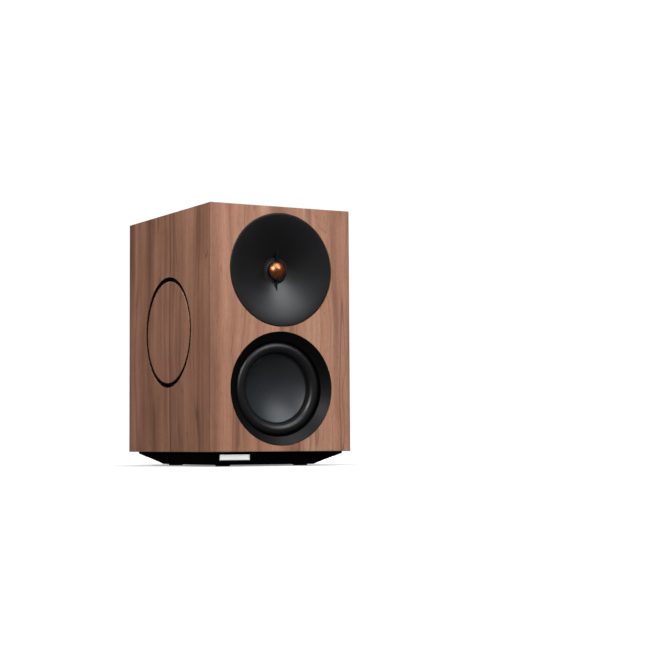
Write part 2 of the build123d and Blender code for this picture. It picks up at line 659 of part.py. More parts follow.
def base():
    rim_z = cabinet_bottom - plinth_rim
    taper = loft([plinth_outline(plinth_bottom_inset, pad_height), plinth_outline(plinth_top_inset, rim_z)])
    rim = extrude(plinth_outline(plinth_top_inset, rim_z), plinth_rim)
    width, thickness, height = badge_size
    badge_block = Box(width, thickness, height, align=(Align.CENTER, Align.MIN, Align.CENTER))
    boss = badge_place() * Pos(0, thickness - badge_seat, 0) * Box(
        width + 2 * badge_boss_border, badge_boss_depth, height + 2 * badge_boss_border,
        align=(Align.CENTER, Align.MIN, Align.CENTER))
    plinth = taper + rim + boss - badge_place() * badge_block
    sides, front, back = plinth_bottom_inset
    pad_x = cabinet_width / 2 - sides - pad_inset
    pad_front = front_y + front + pad_inset
    pad_rear = rear_y - back - pad_inset
    pad = Cylinder(pad_radius, pad_height + pad_seat, align=UP)
    pad = chamfer(pad.faces().sort_by(Axis.Z)[0].edges(), 0.4)
    pads = [Pos(x, y, 0) * pad for x in (-pad_x, pad_x) for y in (pad_front, pad_rear)]
    through = Pos(0, 0, pad_height) * Cylinder(base_screw[0] + fit_gap, plinth_height, align=UP)
    sunk = Pos(0, 0, pad_height) * Cylinder(base_screw[1] + 0.5, plinth_height - base_screw_web, align=UP)
    plinth -= [place * (through + sunk) for place in base_screw_places()]
    save("base_plinth", plinth - pads)
    save("rubber_feet", *pads)

    front_edges = badge_block.faces().sort_by(Axis.Y)[0].edges()
    save("badge_plate", badge_place() * chamfer(front_edges, badge_bevel))
    head_z = cabinet_bottom - base_screw_web
    upward = Pos(0, 0, head_z) * screw(base_screw, base_screw_length)
    save("base_screws", *[place * upward for place in base_screw_places()])


# ---- Terminals ----

def cup_screw_places():
    across, up = cup_size
    return GridLocations(across - cup_border, up - cup_border, 2, 2)


def terminals():
    across, up = cup_size
    flange_y = rear_y - rear_recess - cup_flange_recess
    place = Plane(origin=(0, flange_y, cup_z), x_dir=(1, 0, 0), z_dir=(0, -1, 0)).location
    pocket = (across - 2 * cup_border, up - 2 * cup_border)
    shell = (pocket[0] + 2 * cup_wall, pocket[1] + 2 * cup_wall)
    cup = extrude(RectangleRounded(across, up, cup_corner - fit_gap), cup_flange)
    cup += extrude(RectangleRounded(*shell, cup_corner - fit_gap), cup_pocket_depth + cup_wall)
    cup -= extrude(RectangleRounded(*pocket, cup_corner - cup_wall), cup_pocket_depth)
    cup -= [spot * Cylinder(cup_screw[0] + fit_gap, cup_flange, align=UP) for spot in cup_screw_places()]
    post_hole = Cylinder(post_radius, cup_pocket_depth + cup_wall, align=UP)
    cup -= [Pos(x, 0, 0) * post_hole for x in (-post_spacing / 2, post_spacing / 2)]
    save("terminal_cup", place * cup)
    cup_screws = [place * spot * screw(cup_screw, cup_screw_length) for spot in cup_screw_places()]
    save("terminal_screws", *cup_screws)

    for name, side in (("red", 1), ("black", -1)):
        unit = terminal_unit(side * post_spacing / 2)
        washer_back = post_collar_length
        nut_back = washer_back + washer_thickness
        post_end = nut_back + nut_length - 1.5
        post = Cylinder(post_radius, cup_wall + post_tail + post_end, align=UP)
        post = Pos(0, 0, -cup_wall - post_tail) * post
        collar = extrude(RegularPolygon(post_collar_radius, 6), post_collar_length)
        bore = Pos(0, 0, post_end) * Cylinder(socket_radius, socket_depth, align=DOWN)
        save(f"{name}_terminal_post", unit * (post + collar - bore))
        save(f"{name}_clamp_washer", unit * tube(nut_radius, post_radius + nut_gap, washer_back, nut_back))
        nut = tube(nut_radius, post_radius + nut_gap, nut_back, nut_back + nut_length)
        rims = nut.edges().filter_by(GeomType.CIRCLE).filter_by(lambda edge: edge.radius == nut_radius)
        nut = chamfer(rims, 0.8)
        flute = Pos(0, 0, nut_back) * Cylinder(flute_radius, nut_length, align=UP)
        save(f"{name}_terminal_nut", unit * (nut - ring_of(nut_radius + 0.25, nut_flutes, 0, flute)))


# ---- Crossover ----

def on_board(x, y):
    """A place on top of the crossover board."""
    return Pos(x, y - board_forward, board_top)


def lead(*points):
    """A round lead through a few points, with even bends at its corners."""
    path = FilletPolyline(*points, radius=lead_bend)
    start = Plane(origin=path @ 0, z_dir=path % 0)
    return sweep(start * Circle(lead_radius), path=path)


def crossover():
    length, width, thickness = board_size
    board = Pos(0, -board_forward, inner_bottom + board_clearance) * Box(length, width, thickness, align=UP)
    corners = GridLocations(length - 2 * board_corner_inset, width - 2 * board_corner_inset, 2, 2)
    hole = Cylinder(board_hole, board_clearance + thickness, align=UP)
    hole = Pos(0, -board_forward, inner_bottom) * hole
    save("crossover_board", board - [spot * hole for spot in corners])
    spacer = Pos(0, -board_forward, inner_bottom) * Cylinder(spacer_radius, board_clearance, align=UP)
    save("board_spacers", *[spot * spacer for spot in corners])

    for name, size, spot in (("woofer_inductor", woofer_inductor_size, woofer_inductor_spot),
                             ("tweeter_inductor", tweeter_inductor_size, tweeter_inductor_spot)):
        outer, bore, height = size
        save(name, on_board(*spot) * tube(outer, bore, 0, height))
    radius, capacitor_length = capacitor_size
    capacitor = Pos(0, 0, radius) * Rot(0, 90, 0) * Cylinder(radius, capacitor_length)
    capacitor = on_board(*capacitor_spot) * capacitor
    save("tweeter_capacitor", fillet(capacitor.edges().filter_by(GeomType.CIRCLE), 1.2))
    save("tweeter_resistor", on_board(*resistor_spot) * fillet(Box(*resistor_size, align=UP).edges(), 0.8))


def leads():
    """Leads from the board to the terminals, the woofer and the tweeter, square to what they join."""
    board_front = -board_size[1] / 2 - board_forward + lead_board_inset
    board_rear = board_size[1] / 2 - board_forward - lead_board_inset
    tail_y = cup_floor_y - cup_wall - post_tail
    supply = [
        lead((x, tail_y, cup_z), (x, tail_y - lead_run, cup_z), (x, board_rear, board_top + 2 * lead_run),
             (x, board_rear, board_top))
        for x in (-post_spacing / 2, post_spacing / 2)]

    lug_circle = (basket_floor_radius + woofer_magnet_radius + 1) / 2
    lug_x = -lug_circle * sin(radians(30))
    lug_z = woofer_z - lug_circle * cos(radians(30))
    woofer_lead = lead((lug_x, front_y + basket_floor_depth, lug_z), (lug_x, board_front, lug_z),
                       (lug_x, board_front, board_top))

    plate_x = motor_screw_circle * sin(radians(45))
    plate_y = front_y + tweeter_magnet_depth
    plate_z = tweeter_z - plate_x
    tweeter_lead = lead((plate_x, plate_y, plate_z), (plate_x, board_front, plate_z),
                        (tweeter_lead_spot, board_front, board_top + 2 * lead_run),
                        (tweeter_lead_spot, board_front, board_top))
    save("internal_leads", *supply, woofer_lead, tweeter_lead)


def driver_screws():
    """The screws of the waveguide, the tweeter's motor, the woofer and both radiators."""
    from_behind = Rot(180, 0, 0)
    tweeter_unit = front_unit(tweeter_z)
    rim = Pos(0, 0, baffle_thickness) * from_behind * screw(driver_screw, waveguide_screw_length)
    motor = Pos(0, 0, tweeter_magnet_depth) * from_behind * screw(motor_screw, motor_screw_length)
    screws = [tweeter_unit * copy for copy in ring_of(
        waveguide_screw_circle, waveguide_screw_count, waveguide_screw_start, rim)]
    screws += [tweeter_unit * copy for copy in ring_of(motor_screw_circle, motor_screw_count, 0, motor)]
    basket = Pos(0, 0, surround_edge) * screw(driver_screw, woofer_screw_length)
    screws += [front_unit(woofer_z) * copy
               for copy in ring_of(woofer_screw_circle, woofer_screw_count, 0, basket)]
    frame = Pos(0, 0, radiator_flange_front) * screw(driver_screw, radiator_screw_length)
    for side in (-1, 1):
        screws += [side_unit(side) * copy for copy in ring_of(
            radiator_screw_circle, radiator_screw_count, radiator_screw_start, frame)]
    save("driver_screws", *screws)


cabinet()
tweeter()
woofer()
radiator("left", -1)
radiator("right", 1)
base()
terminals()
crossover()
leads()
driver_screws()
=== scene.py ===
import json
import math

import bpy
from mathutils import Matrix, Vector

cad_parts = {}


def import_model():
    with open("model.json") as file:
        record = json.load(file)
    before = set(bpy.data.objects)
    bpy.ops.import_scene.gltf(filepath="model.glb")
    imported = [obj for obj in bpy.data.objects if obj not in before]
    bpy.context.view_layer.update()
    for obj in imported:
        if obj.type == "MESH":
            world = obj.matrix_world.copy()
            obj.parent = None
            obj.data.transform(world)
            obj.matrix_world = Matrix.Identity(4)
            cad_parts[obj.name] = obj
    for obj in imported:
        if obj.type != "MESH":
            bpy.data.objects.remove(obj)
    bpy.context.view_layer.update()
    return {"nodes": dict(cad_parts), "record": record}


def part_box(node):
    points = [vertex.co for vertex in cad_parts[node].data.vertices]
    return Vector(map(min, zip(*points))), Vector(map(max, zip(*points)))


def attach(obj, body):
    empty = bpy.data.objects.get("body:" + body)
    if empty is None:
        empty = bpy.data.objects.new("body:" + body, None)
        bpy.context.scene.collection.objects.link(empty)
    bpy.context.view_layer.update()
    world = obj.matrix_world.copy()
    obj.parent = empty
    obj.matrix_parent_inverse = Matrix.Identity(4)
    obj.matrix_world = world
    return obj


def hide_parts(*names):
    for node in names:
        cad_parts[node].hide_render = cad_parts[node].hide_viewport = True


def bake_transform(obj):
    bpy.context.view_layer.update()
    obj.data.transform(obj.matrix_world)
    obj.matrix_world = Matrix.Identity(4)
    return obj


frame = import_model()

MM = 0.001

# Walnut tones, as linear colours, and the near-black painted shade in the deep slots round the cover discs
WALNUT_DARK = (0.180, 0.075, 0.045)
WALNUT_MIDDLE = (0.285, 0.127, 0.076)
WALNUT_LIGHT = (0.385, 0.183, 0.113)
WALNUT_PALE = (0.470, 0.245, 0.158)
SLOT_SHADE_BLACK = (0.004, 0.003, 0.003)

# How far the grain wanders sideways, and the dark streak down the left side
WOOD_SWAY = 0.016
STREAK_Y = -0.008
STREAK_CORE = 0.6 * MM
STREAK_WIDTH = 0.0034

# The slot round a cover disc, and where the painted shade on its walls ends
SLOT_WIDTH = 5.4 * MM
SHADE_SETBACK = 0.9 * MM
SHADE_MARGIN = 0.2 * MM

# Horn: its flare, the flange and boss behind it, and the edge that rolls over beside the wood
FLARE_DEPTH = 15.0 * MM
FLARE_POWER = 1.5
FLARE_STEPS = 64
HORN_FLANGE = 6.0 * MM
HORN_BOSS_WIDTH = 23.7 * MM
HORN_SHOULDER = 5 * MM
POCKET_WIDTH = 2 * MM
POCKET_CLEARANCE = 0.4 * MM
RIM_ROLL = 0.7 * MM
HORN_GAP = 0.5 * MM

# Mesh dome: its holes, and the least metal left between a hole and the rim
MESH_PITCH = 1.75 * MM
MESH_HOLE = 0.62 * MM
MESH_BORDER = 0.35 * MM
MESH_THICKNESS = 0.35 * MM
HOLE_CORNERS = 12

# Woofer: the land that its surround is glued to, the cone's wall, and the spider's waves
WOOFER_LAND = 2.2 * MM
CONE_WALL = 0.8 * MM
SPIDER_WAVE = 1.2 * MM
SPIDER_WAVES = 6
SPIDER_STEPS = 72
SPIDER_OUTER_LAND = 4 * MM
SPIDER_INNER_LAND = 1.5 * MM

# A point nearer to its axis than this is on it
ON_AXIS = 1e-9


# ---------------------------------------------------------------- places taken from the frame

def middle(node):
    """Centre of a CAD node's box, and half its size."""
    low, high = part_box(node)
    return (low + high) / 2, (high - low) / 2


baffle_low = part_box("front_baffle")[0]
FRONT_Y = baffle_low.y
horn_middle, horn_half = middle("tweeter_waveguide")
trim_middle = middle("woofer_trim_ring")[0]
disc_middle, disc_half = middle("left_cover_disc")
CABINET_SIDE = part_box("right_side_panel")[1].x
SLOT_OUTER_RADIUS = disc_half.z + SLOT_WIDTH
# The painted shade in the slots stops this far from the middle, just inside a side's outer face
SHADE_LIMIT = CABINET_SIDE - SHADE_SETBACK


def front_unit(height):
    """Turns (across, up, depth) behind the baffle's face into a place: local Z is the depth."""
    return Matrix(((1, 0, 0, 0), (0, 0, 1, FRONT_Y), (0, -1, 0, height), (0, 0, 0, 1)))


def side_unit(node):
    """The same for a unit in a side panel, at the cover disc's middle."""
    centre = middle(node)[0]
    side = 1 if centre.x > 0 else -1
    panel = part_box("left_side_panel" if side < 0 else "right_side_panel")
    outer = panel[0].x if side < 0 else panel[1].x
    return Matrix(((0, 0, -side, outer), (side, 0, 0, centre.y), (0, -1, 0, centre.z), (0, 0, 0, 1)))


# ---------------------------------------------------------------- node materials

class Shader:
    """A material's node tree, with short calls to add and link nodes."""

    def __init__(self, name, **surface):
        self.material = bpy.data.materials.new(name)
        self.material.use_nodes = True
        self.tree = self.material.node_tree
        self.surface = self.tree.nodes["Principled BSDF"]
        self.set(**surface)

    def set(self, **values):
        for name, value in values.items():
            self.join(value, self.surface.inputs[name.replace("_", " ")])
        return self

    def join(self, value, socket):
        if isinstance(value, bpy.types.NodeSocket):
            self.tree.links.new(value, socket)
        elif isinstance(value, tuple) and len(value) == 3 and socket.type == "RGBA":
            socket.default_value = (*value, 1)
        else:
            socket.default_value = value

    def add(self, kind, *inputs, **settings):
        """Adds a node. Inputs go to its sockets in order, and None leaves one as it is."""
        node = self.tree.nodes.new("ShaderNode" + kind)
        for name, value in settings.items():
            setattr(node, name, value)
        for value, socket in zip(inputs, [s for s in node.inputs if s.enabled]):
            if value is not None:
                self.join(value, socket)
        return node

    def where(self):
        """Object coordinates, in metres, of the part at rest."""
        return self.add("TexCoord").outputs["Object"]

    def stretched(self, point, scale):
        return self.add("Mapping", point, None, None, scale).outputs[0]

    def noise(self, point, scale, detail=3.0, rough=0.5, warp=0.0):
        return self.add("TexNoise", point, scale, detail, rough, 2.0, warp).outputs[0]

    def maths(self, operation, *values):
        return self.add("Math", *values, operation=operation).outputs[0]

    def ramp(self, value, *stops):
        """A colour ramp. Stops are (position, colour) pairs."""
        node = self.add("ValToRGB", value)
        elements = node.color_ramp.elements
        while len(elements) < len(stops):
            elements.new(0.5)
        for element, (position, colour) in zip(elements, stops):
            element.position = position
            element.color = (*colour, 1)
        return node.outputs[0]

    def scale(self, value, low, high, start=0.0, end=1.0):
        """Maps a value's range start..end to low..high."""
        return self.add("MapRange", value, start, end, low, high).outputs[0]

    def shaded(self, colour, grey):
        """Multiplies a colour by a grey value."""
        return self.mix(1.0, colour, self.add("CombineColor", grey, grey, grey).outputs[0], "MULTIPLY")

    def mix(self, share, first, second, blend="MIX"):
        node = self.add("Mix", data_type="RGBA", blend_type=blend)
        self.join(share, node.inputs[0])
        self.join(first, node.inputs[6])
        self.join(second, node.inputs[7])
        return node.outputs[2]

    def bump(self, height, distance, strength):
        node = self.add("Bump")
        node.inputs["Strength"].default_value = strength
        node.inputs["Distance"].default_value = distance
        self.join(height, node.inputs["Height"])
        return node.outputs[0]


def along_grain(s, seed):
    """Coordinates whose Z is the grain: up the upright faces, front to back on the level ones."""
    coordinates = s.add("TexCoord")
    here = coordinates.outputs["Object"]
    facing = s.add("SeparateXYZ", coordinates.outputs["Normal"])
    level = s.maths("GREATER_THAN", s.maths("ABSOLUTE", facing.outputs[2]), 0.7)
    x, y, z = s.add("SeparateXYZ", here).outputs
    turned_over = s.add("CombineXYZ", x, z, y).outputs[0]
    upright = s.add("Mix", data_type="VECTOR")
    s.join(level, upright.inputs[0])
    s.join(here, upright.inputs[4])
    s.join(turned_over, upright.inputs[5])
    offset = (seed, seed * 0.7, seed * 0.3)
    point = s.add("VectorMath", upright.outputs[1], offset, operation="ADD").outputs[0]
    return point, x, y, z


def painted_slot_shade(s, wood, x, y, z):
    """Painted shade: near-black colour on both walls of the deep slot round each cover disc, ending just
    short of the outer face.
    """
    off_axis = s.maths("SUBTRACT", z, disc_middle.z)
    squares = s.maths("ADD", s.maths("MULTIPLY", y, y), s.maths("MULTIPLY", off_axis, off_axis))
    radius = s.maths("SQRT", squares)
    within = s.maths("LESS_THAN", radius, SLOT_OUTER_RADIUS + SHADE_MARGIN)
    sunk = s.maths("LESS_THAN", s.maths("ABSOLUTE", x), SHADE_LIMIT)
    slot_shade = s.maths("MULTIPLY", within, sunk)
    return s.mix(slot_shade, wood, SLOT_SHADE_BLACK)


def walnut(name, seed):
    """Walnut veneer. The scales of its noises are in features per metre, across and along the grain."""
    s = Shader(name)
    point, x, y, z = along_grain(s, seed)

    # The grain wanders sideways as it runs along the board
    sway = s.noise(s.stretched(point, (7, 7, 5.0)), 1.0, 2.0)
    push = s.scale(sway, -WOOD_SWAY, WOOD_SWAY)
    sideways = s.add("CombineXYZ", push, push, 0.0).outputs[0]
    swayed = s.add("VectorMath", point, sideways, operation="ADD").outputs[0]
    boards = s.noise(s.stretched(swayed, (24, 24, 0.9)), 1.0, 2.0, 0.5)
    bands = s.noise(s.stretched(swayed, (62, 62, 1.1)), 1.0, 3.0, 0.55)
    stripes = s.noise(s.stretched(swayed, (230, 230, 3.0)), 1.0, 3.0, 0.6)
    fibres = s.noise(s.stretched(swayed, (1100, 1100, 30)), 1.0, 3.0, 0.65)
    pores = s.noise(s.stretched(point, (1900, 1900, 150)), 1.0, 1.0, 0.5)
    figure = s.noise(s.stretched(swayed, (40, 40, 1.6)), 1.0, 1.0, 0.4)
    clouds = s.noise(s.stretched(point, (20, 20, 12)), 1.0, 3.0, 0.5)

    # Wide boards and bands set the tone, and two thin lines follow the figure's contours
    tone = s.maths("MULTIPLY", boards, 0.56)
    tone = s.maths("MULTIPLY_ADD", bands, 0.22, tone)
    tone = s.maths("MULTIPLY_ADD", stripes, 0.10, tone)
    tone = s.maths("MULTIPLY_ADD", clouds, 0.12, tone)
    wood = s.ramp(tone, (0.38, WALNUT_DARK), (0.46, WALNUT_MIDDLE),
                  (0.54, WALNUT_LIGHT), (0.62, WALNUT_PALE))
    heart = s.maths("ABSOLUTE", s.maths("SUBTRACT", figure, 0.52))
    wood = s.shaded(wood, s.scale(heart, 0.55, 1.0, 0.0, 0.009))
    second = s.maths("ABSOLUTE", s.maths("SUBTRACT", figure, 0.43))
    wood = s.shaded(wood, s.scale(second, 0.72, 1.0, 0.0, 0.005))
    wood = s.shaded(wood, s.scale(fibres, 0.88, 1.10, 0.3, 0.7))

    # Soft dark streaks, each a few millimetres wide and most of a board long
    shades = s.noise(s.stretched(swayed, (75, 75, 1.3)), 1.0, 1.0, 0.4)
    wood = s.shaded(wood, s.scale(shades, 1.0, 0.66, 0.60, 0.76))

    # One dark streak runs the height of the left side, through the cover disc
    along = s.maths("ADD", y, s.maths("MULTIPLY", push, 0.6))
    off_streak = s.maths("ABSOLUTE", s.maths("SUBTRACT", along, STREAK_Y))
    streak = s.scale(off_streak, 0.52, 1.0, STREAK_CORE, STREAK_WIDTH)
    on_left = s.maths("LESS_THAN", x, -SHADE_LIMIT)
    wood = s.shaded(wood, s.maths("MAXIMUM", streak, s.maths("SUBTRACT", 1.0, on_left)))
    wood = s.shaded(wood, s.scale(pores, 1.0, 0.70, 0.60, 0.70))
    # The deep slot round each cover disc is coloured near black: painted shade
    wood = painted_slot_shade(s, wood, x, y, z)

    height = s.maths("MULTIPLY_ADD", pores, -0.6, s.maths("MULTIPLY", fibres, 0.4))
    s.set(Base_Color=wood, Roughness=s.scale(fibres, 0.42, 0.54, 0.3, 0.7),
          Normal=s.bump(height, 0.00010, 0.4), Specular_IOR_Level=0.52)
    return s.material


def satin(name, colour, roughness=0.42, grain=2500.0, depth=0.00002, vary=0.25, **surface):
    """Moulded or painted surface: fine grain, with a slight drift in tone and gloss."""
    s = Shader(name, **surface)
    here = s.where()
    drift = s.noise(here, 35.0, 3.0)
    grains = s.noise(here, grain, 2.0)
    darker = tuple(c * (1 - vary) for c in colour)
    lighter = tuple(min(1.0, c * (1 + vary)) for c in colour)
    uneven = s.maths("ADD", s.maths("MULTIPLY", drift, 0.6), s.maths("MULTIPLY", grains, 0.4))
    s.set(Base_Color=s.ramp(drift, (0.35, darker), (0.65, lighter)),
          Roughness=s.scale(uneven, roughness * 0.88, roughness * 1.12, 0.3, 0.7),
          Normal=s.bump(grains, depth, 0.6))
    return s.material


def brushed(name, colour, roughness, along=(1, 1, 60), grain=900.0, metallic=1.0):
    """Metal with fine brushing across the long direction of its noise."""
    s = Shader(name, Metallic=metallic)
    streaks = s.noise(s.stretched(s.where(), along), grain, 3.0, 0.6)
    darker = tuple(c * 0.86 for c in colour)
    s.set(Base_Color=s.ramp(streaks, (0.3, darker), (0.7, colour)),
          Roughness=s.scale(streaks, roughness * 0.8, roughness * 1.25, 0.3, 0.7),
          Normal=s.bump(streaks, 0.00001, 0.4))
    return s.material


def fibreboard(name, colour, speck=0.5):
    """Chips and patches of uneven tone, for pressed board and other rough fillings."""
    s = Shader(name, Roughness=0.85)
    here = s.where()
    chips = s.noise(here, 1400.0, 4.0, 0.7)
    patches = s.noise(here, 60.0, 3.0)
    low = tuple(c * (1 - speck) for c in colour)
    tone = s.maths("ADD", s.maths("MULTIPLY", chips, 0.6), s.maths("MULTIPLY", patches, 0.4))
    s.set(Base_Color=s.ramp(tone, (0.35, low), (0.6, colour)), Normal=s.bump(chips, 0.0001, 0.6))
    return s.material


def cloth(name, colour, pitch):
    """Plain weave at a pitch in metres."""
    s = Shader(name, Roughness=0.95, Sheen_Weight=0.3)
    here = s.where()
    split = s.add("SeparateXYZ", here)
    turns = 2 * math.pi / pitch
    weft = s.maths("SINE", s.maths("MULTIPLY", split.outputs[0], turns))
    warp = s.maths("SINE", s.maths("MULTIPLY", split.outputs[2], turns))
    weave = s.maths("MULTIPLY", weft, warp)
    drift = s.noise(here, 90.0, 4.0)
    low = tuple(c * 0.65 for c in colour)
    tone = s.maths("ADD", s.scale(weave, 0.25, 0.75, -1.0, 1.0), s.maths("MULTIPLY", drift, 0.3))
    s.set(Base_Color=s.ramp(tone, (0.3, low), (0.9, colour)), Normal=s.bump(weave, pitch * 0.15, 0.7))
    return s.material


def winding(name, colour, pitch=0.0006):
    """Enamelled wire laid side by side, as rings round the part."""
    s = Shader(name, Metallic=0.9, Roughness=0.35)
    split = s.add("SeparateXYZ", s.where())
    turns = 2 * math.pi / pitch
    wires = s.maths("ADD", s.maths("SINE", s.maths("MULTIPLY", split.outputs[1], turns)),
                    s.maths("SINE", s.maths("MULTIPLY", split.outputs[2], turns)))
    low = tuple(c * 0.45 for c in colour)
    s.set(Base_Color=s.ramp(s.scale(wires, 0.0, 1.0, -2.0, 2.0), (0.2, low), (0.8, colour)),
          Normal=s.bump(wires, pitch * 0.2, 0.8))
    return s.material


MATERIALS = {
    "walnut": walnut("walnut_veneer", 2.41),
    "horn_black": satin("horn_black", (0.0020, 0.0020, 0.0028), 0.37, 3000.0, 0.000006, 0.08,
                        Specular_IOR_Level=0.45),
    "guard_black": satin("guard_black", (0.003, 0.003, 0.004), 0.36, 3000.0, 0.000008, 0.10,
                         Specular_IOR_Level=0.30),
    "copper_mesh": brushed("copper_mesh", (0.86, 0.27, 0.11), 0.30, (1, 1, 1), 1500.0),
    "throat_black": satin("throat_black", (0.045, 0.045, 0.048), 0.30),
    "dome_metal": brushed("dome_metal", (0.10, 0.035, 0.018), 0.4, (1, 1, 1), 900.0),
    "coil": winding("coil_winding", (0.65, 0.28, 0.10)),
    "rubber": satin("butyl_rubber", (0.004, 0.004, 0.005), 0.38, 1800.0, 0.00002, 0.2,
                    Specular_IOR_Level=0.40),
    "cone_black": satin("cone_coating", (0.014, 0.017, 0.020), 0.44, 1500.0, 0.00002, 0.12),
    "trim_black": satin("trim_black", (0.0025, 0.0022, 0.0022), 0.44, 3000.0, 0.000008, 0.15,
                        Specular_IOR_Level=0.13),
    "basket_black": satin("basket_powder_coat", (0.02, 0.02, 0.02), 0.55, 1600.0, 0.00006, 0.2),
    "spider_cloth": cloth("spider_cloth", (0.55, 0.42, 0.20), 0.0012),
    "ferrite": satin("ferrite", (0.045, 0.045, 0.05), 0.6, 700.0, 0.00005, 0.3),
    "plated_steel": brushed("plated_steel", (0.62, 0.62, 0.60), 0.32),
    "black_screw": satin("black_oxide", (0.02, 0.02, 0.021), 0.4, 1500.0, 0.00001, 0.2, Metallic=0.6),
    "raw_board": fibreboard("raw_fibreboard", (0.42, 0.29, 0.18)),
    "rear_black": satin("rear_lacquer", (0.018, 0.017, 0.017), 0.6, 1100.0, 0.00016, 0.25),
    "wadding": fibreboard("polyester_wadding", (0.75, 0.75, 0.71), 0.2),
    "base_black": satin("base_black", (0.0006, 0.0006, 0.0006), 0.6, 2200.0, 0.00001, 0.2,
                        Specular_IOR_Level=0.004),
    "foot_rubber": satin("foot_rubber", (0.03, 0.03, 0.03), 0.8, 1300.0, 0.00006, 0.25),
    "badge_bright": brushed("badge_satin", (0.98, 0.98, 0.98), 0.30, (60, 1, 1), 500.0, 0.0),
    "cup_black": satin("cup_textured", (0.022, 0.022, 0.022), 0.5, 1300.0, 0.00010, 0.2),
    "gilt": brushed("gold_plate", (0.85, 0.60, 0.24), 0.2, (1, 1, 1), 1200.0),
    "red_nut": satin("red_cap", (0.42, 0.012, 0.012), 0.22, 1800.0, 0.00001, 0.15),
    "black_nut": satin("black_cap", (0.012, 0.012, 0.012), 0.22, 1800.0, 0.00001, 0.15),
    "circuit_board": fibreboard("circuit_board", (0.03, 0.16, 0.06), 0.3),
    "spacer_nylon": satin("spacer_nylon", (0.8, 0.8, 0.77), 0.5),
    "film_can": satin("film_can", (0.62, 0.44, 0.06), 0.25),
    "resistor_body": fibreboard("resistor_cement", (0.82, 0.80, 0.74), 0.2),
    "lead_jacket": satin("lead_jacket", (0.05, 0.05, 0.05), 0.4),
}

SLOTS = {piece["node"]: piece["material_slot"] for piece in frame["record"]["subparts"]}
for node, item in frame["nodes"].items():
    item.data.materials.clear()
    item.data.materials.append(MATERIALS[SLOTS[node]])


# ---------------------------------------------------------------- pieces turned round an axis

def straight(*points):
    """Segments between (radius, depth) points. A segment is its two ends and the normal at each."""
    segments = []
    for (r0, d0), (r1, d1) in zip(points, points[1:]):
        across = Vector((d0 - d1, r1 - r0)).normalized()
        segments.append(((r0, d0), (r1, d1), across, across))
    return segments


def curved(centre, radius, start, end, steps, side=1):
    """The same along an arc, in degrees. side is -1 where its normals point at the centre."""
    angles = [math.radians(start + (end - start) * k / steps) for k in range(steps + 1)]
    normals = [Vector((math.cos(a), math.sin(a))) for a in angles]
    ends = [(centre[0] + radius * n.x, centre[1] + radius * n.y) for n in normals]
    return [(ends[k], ends[k + 1], side * normals[k], side * normals[k + 1]) for k in range(steps)]


def turned(name, node, segments, unit, start=0.0, end=360.0, steps=192):
    """A closed profile turned about a unit's axis, with a CAD node's finish. A part turn gets end faces."""
    whole = end - start >= 360
    stations = steps if whole else steps + 1
    angles = [math.radians(start + (end - start) * j / steps) for j in range(stations)]
    facing = unit.to_3x3()

    def at(radius, depth, angle):
        return unit @ Vector((radius * math.cos(angle), radius * math.sin(angle), depth))

    count = len(segments)
    vertices, places = [], {}

    def index(j, k):
        """The vertex at an angle and a profile point. One on the axis serves every angle."""
        radius, depth = segments[k][0]
        key = (0 if radius < ON_AXIS else j, k)
        if key not in places:
            places[key] = len(vertices)
            vertices.append(at(radius, depth, angles[j]))
        return places[key]

    faces, normals = [], []
    for j in range(steps):
        following = (j + 1) % len(angles)
        for k, (_, _, first, second) in enumerate(segments):
            after = (k + 1) % count
            corners = ((j, k, first), (j, after, second), (following, after, second), (following, k, first))
            face = {}
            for step, spot, n in corners:
                a = angles[step]
                outward = facing @ Vector((n.x * math.cos(a), n.x * math.sin(a), n.y))
                face.setdefault(index(step, spot), outward)
            if len(face) > 2:
                faces.append(list(face))
                normals.append(list(face.values()))
    if not whole:
        for j, sign in ((0, 1), (len(angles) - 1, -1)):
            away = facing @ Vector((sign * math.sin(angles[j]), -sign * math.cos(angles[j]), 0))
            faces.append([index(j, k) for k in range(count)][::-sign])
            normals.append([away] * count)
    a, b, c = (vertices[i] for i in faces[0][:3])
    if (b - a).cross(c - b).dot(normals[0][0]) < 0:
        faces = [face[::-1] for face in faces]
        normals = [face[::-1] for face in normals]
    mesh = bpy.data.meshes.new(name)
    mesh.from_pydata(vertices, [], faces)
    mesh.polygons.foreach_set("use_smooth", [True] * len(faces))
    mesh.normals_split_custom_set([normal for face in normals for normal in face])
    mesh.materials.append(MATERIALS[SLOTS[node]])
    piece = bpy.data.objects.new(name, mesh)
    bpy.context.scene.collection.objects.link(piece)
    return piece


def flexing_ring(node, unit, segments, count, steps):
    """Sectors of a ring, each a piece of its own, reaching from the cabinet, outside, to a moving body,
    inside.
    """
    for k in range(count):
        start, end = 360 * k / count, 360 * (k + 1) / count
        piece = turned(f"{node}_{k + 1:02d}", node, segments, unit, start, end, steps)
        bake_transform(piece)
        if k == 0:
            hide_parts(node)


def depth_range(node, unit):
    """A node's front and back, as depths in its unit."""
    low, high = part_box(node)
    into = unit.to_3x3() @ Vector((0, 0, 1))
    start = unit.translation
    depths = sorted(((low - start).dot(into), (high - start).dot(into)))
    return depths[0], depths[1]


def roll_surround(node, moving_node, unit, skin, gap, land, count, steps):
    """A half roll with a flat land at each side: one glued to the frame, the other to the moving part."""
    front, back = depth_range(node, unit)
    rim = middle(node)[1].z
    edge = middle(moving_node)[1].z + gap
    face = back - skin
    roll = face - front
    thin = roll - skin
    crest = edge + roll
    inside = edge - land
    centre = (crest, face)
    segments = (straight((rim, face), (crest + roll, face))
                + curved(centre, roll, 0, -180, 24)
                + straight((edge, face), (inside, face), (inside, back),
                           (crest - thin, back), (crest - thin, face))
                + curved(centre, thin, -180, 0, 24, -1)
                + straight((crest + thin, face), (crest + thin, back), (rim, back), (rim, face)))
    flexing_ring(node, unit, segments, count, steps)


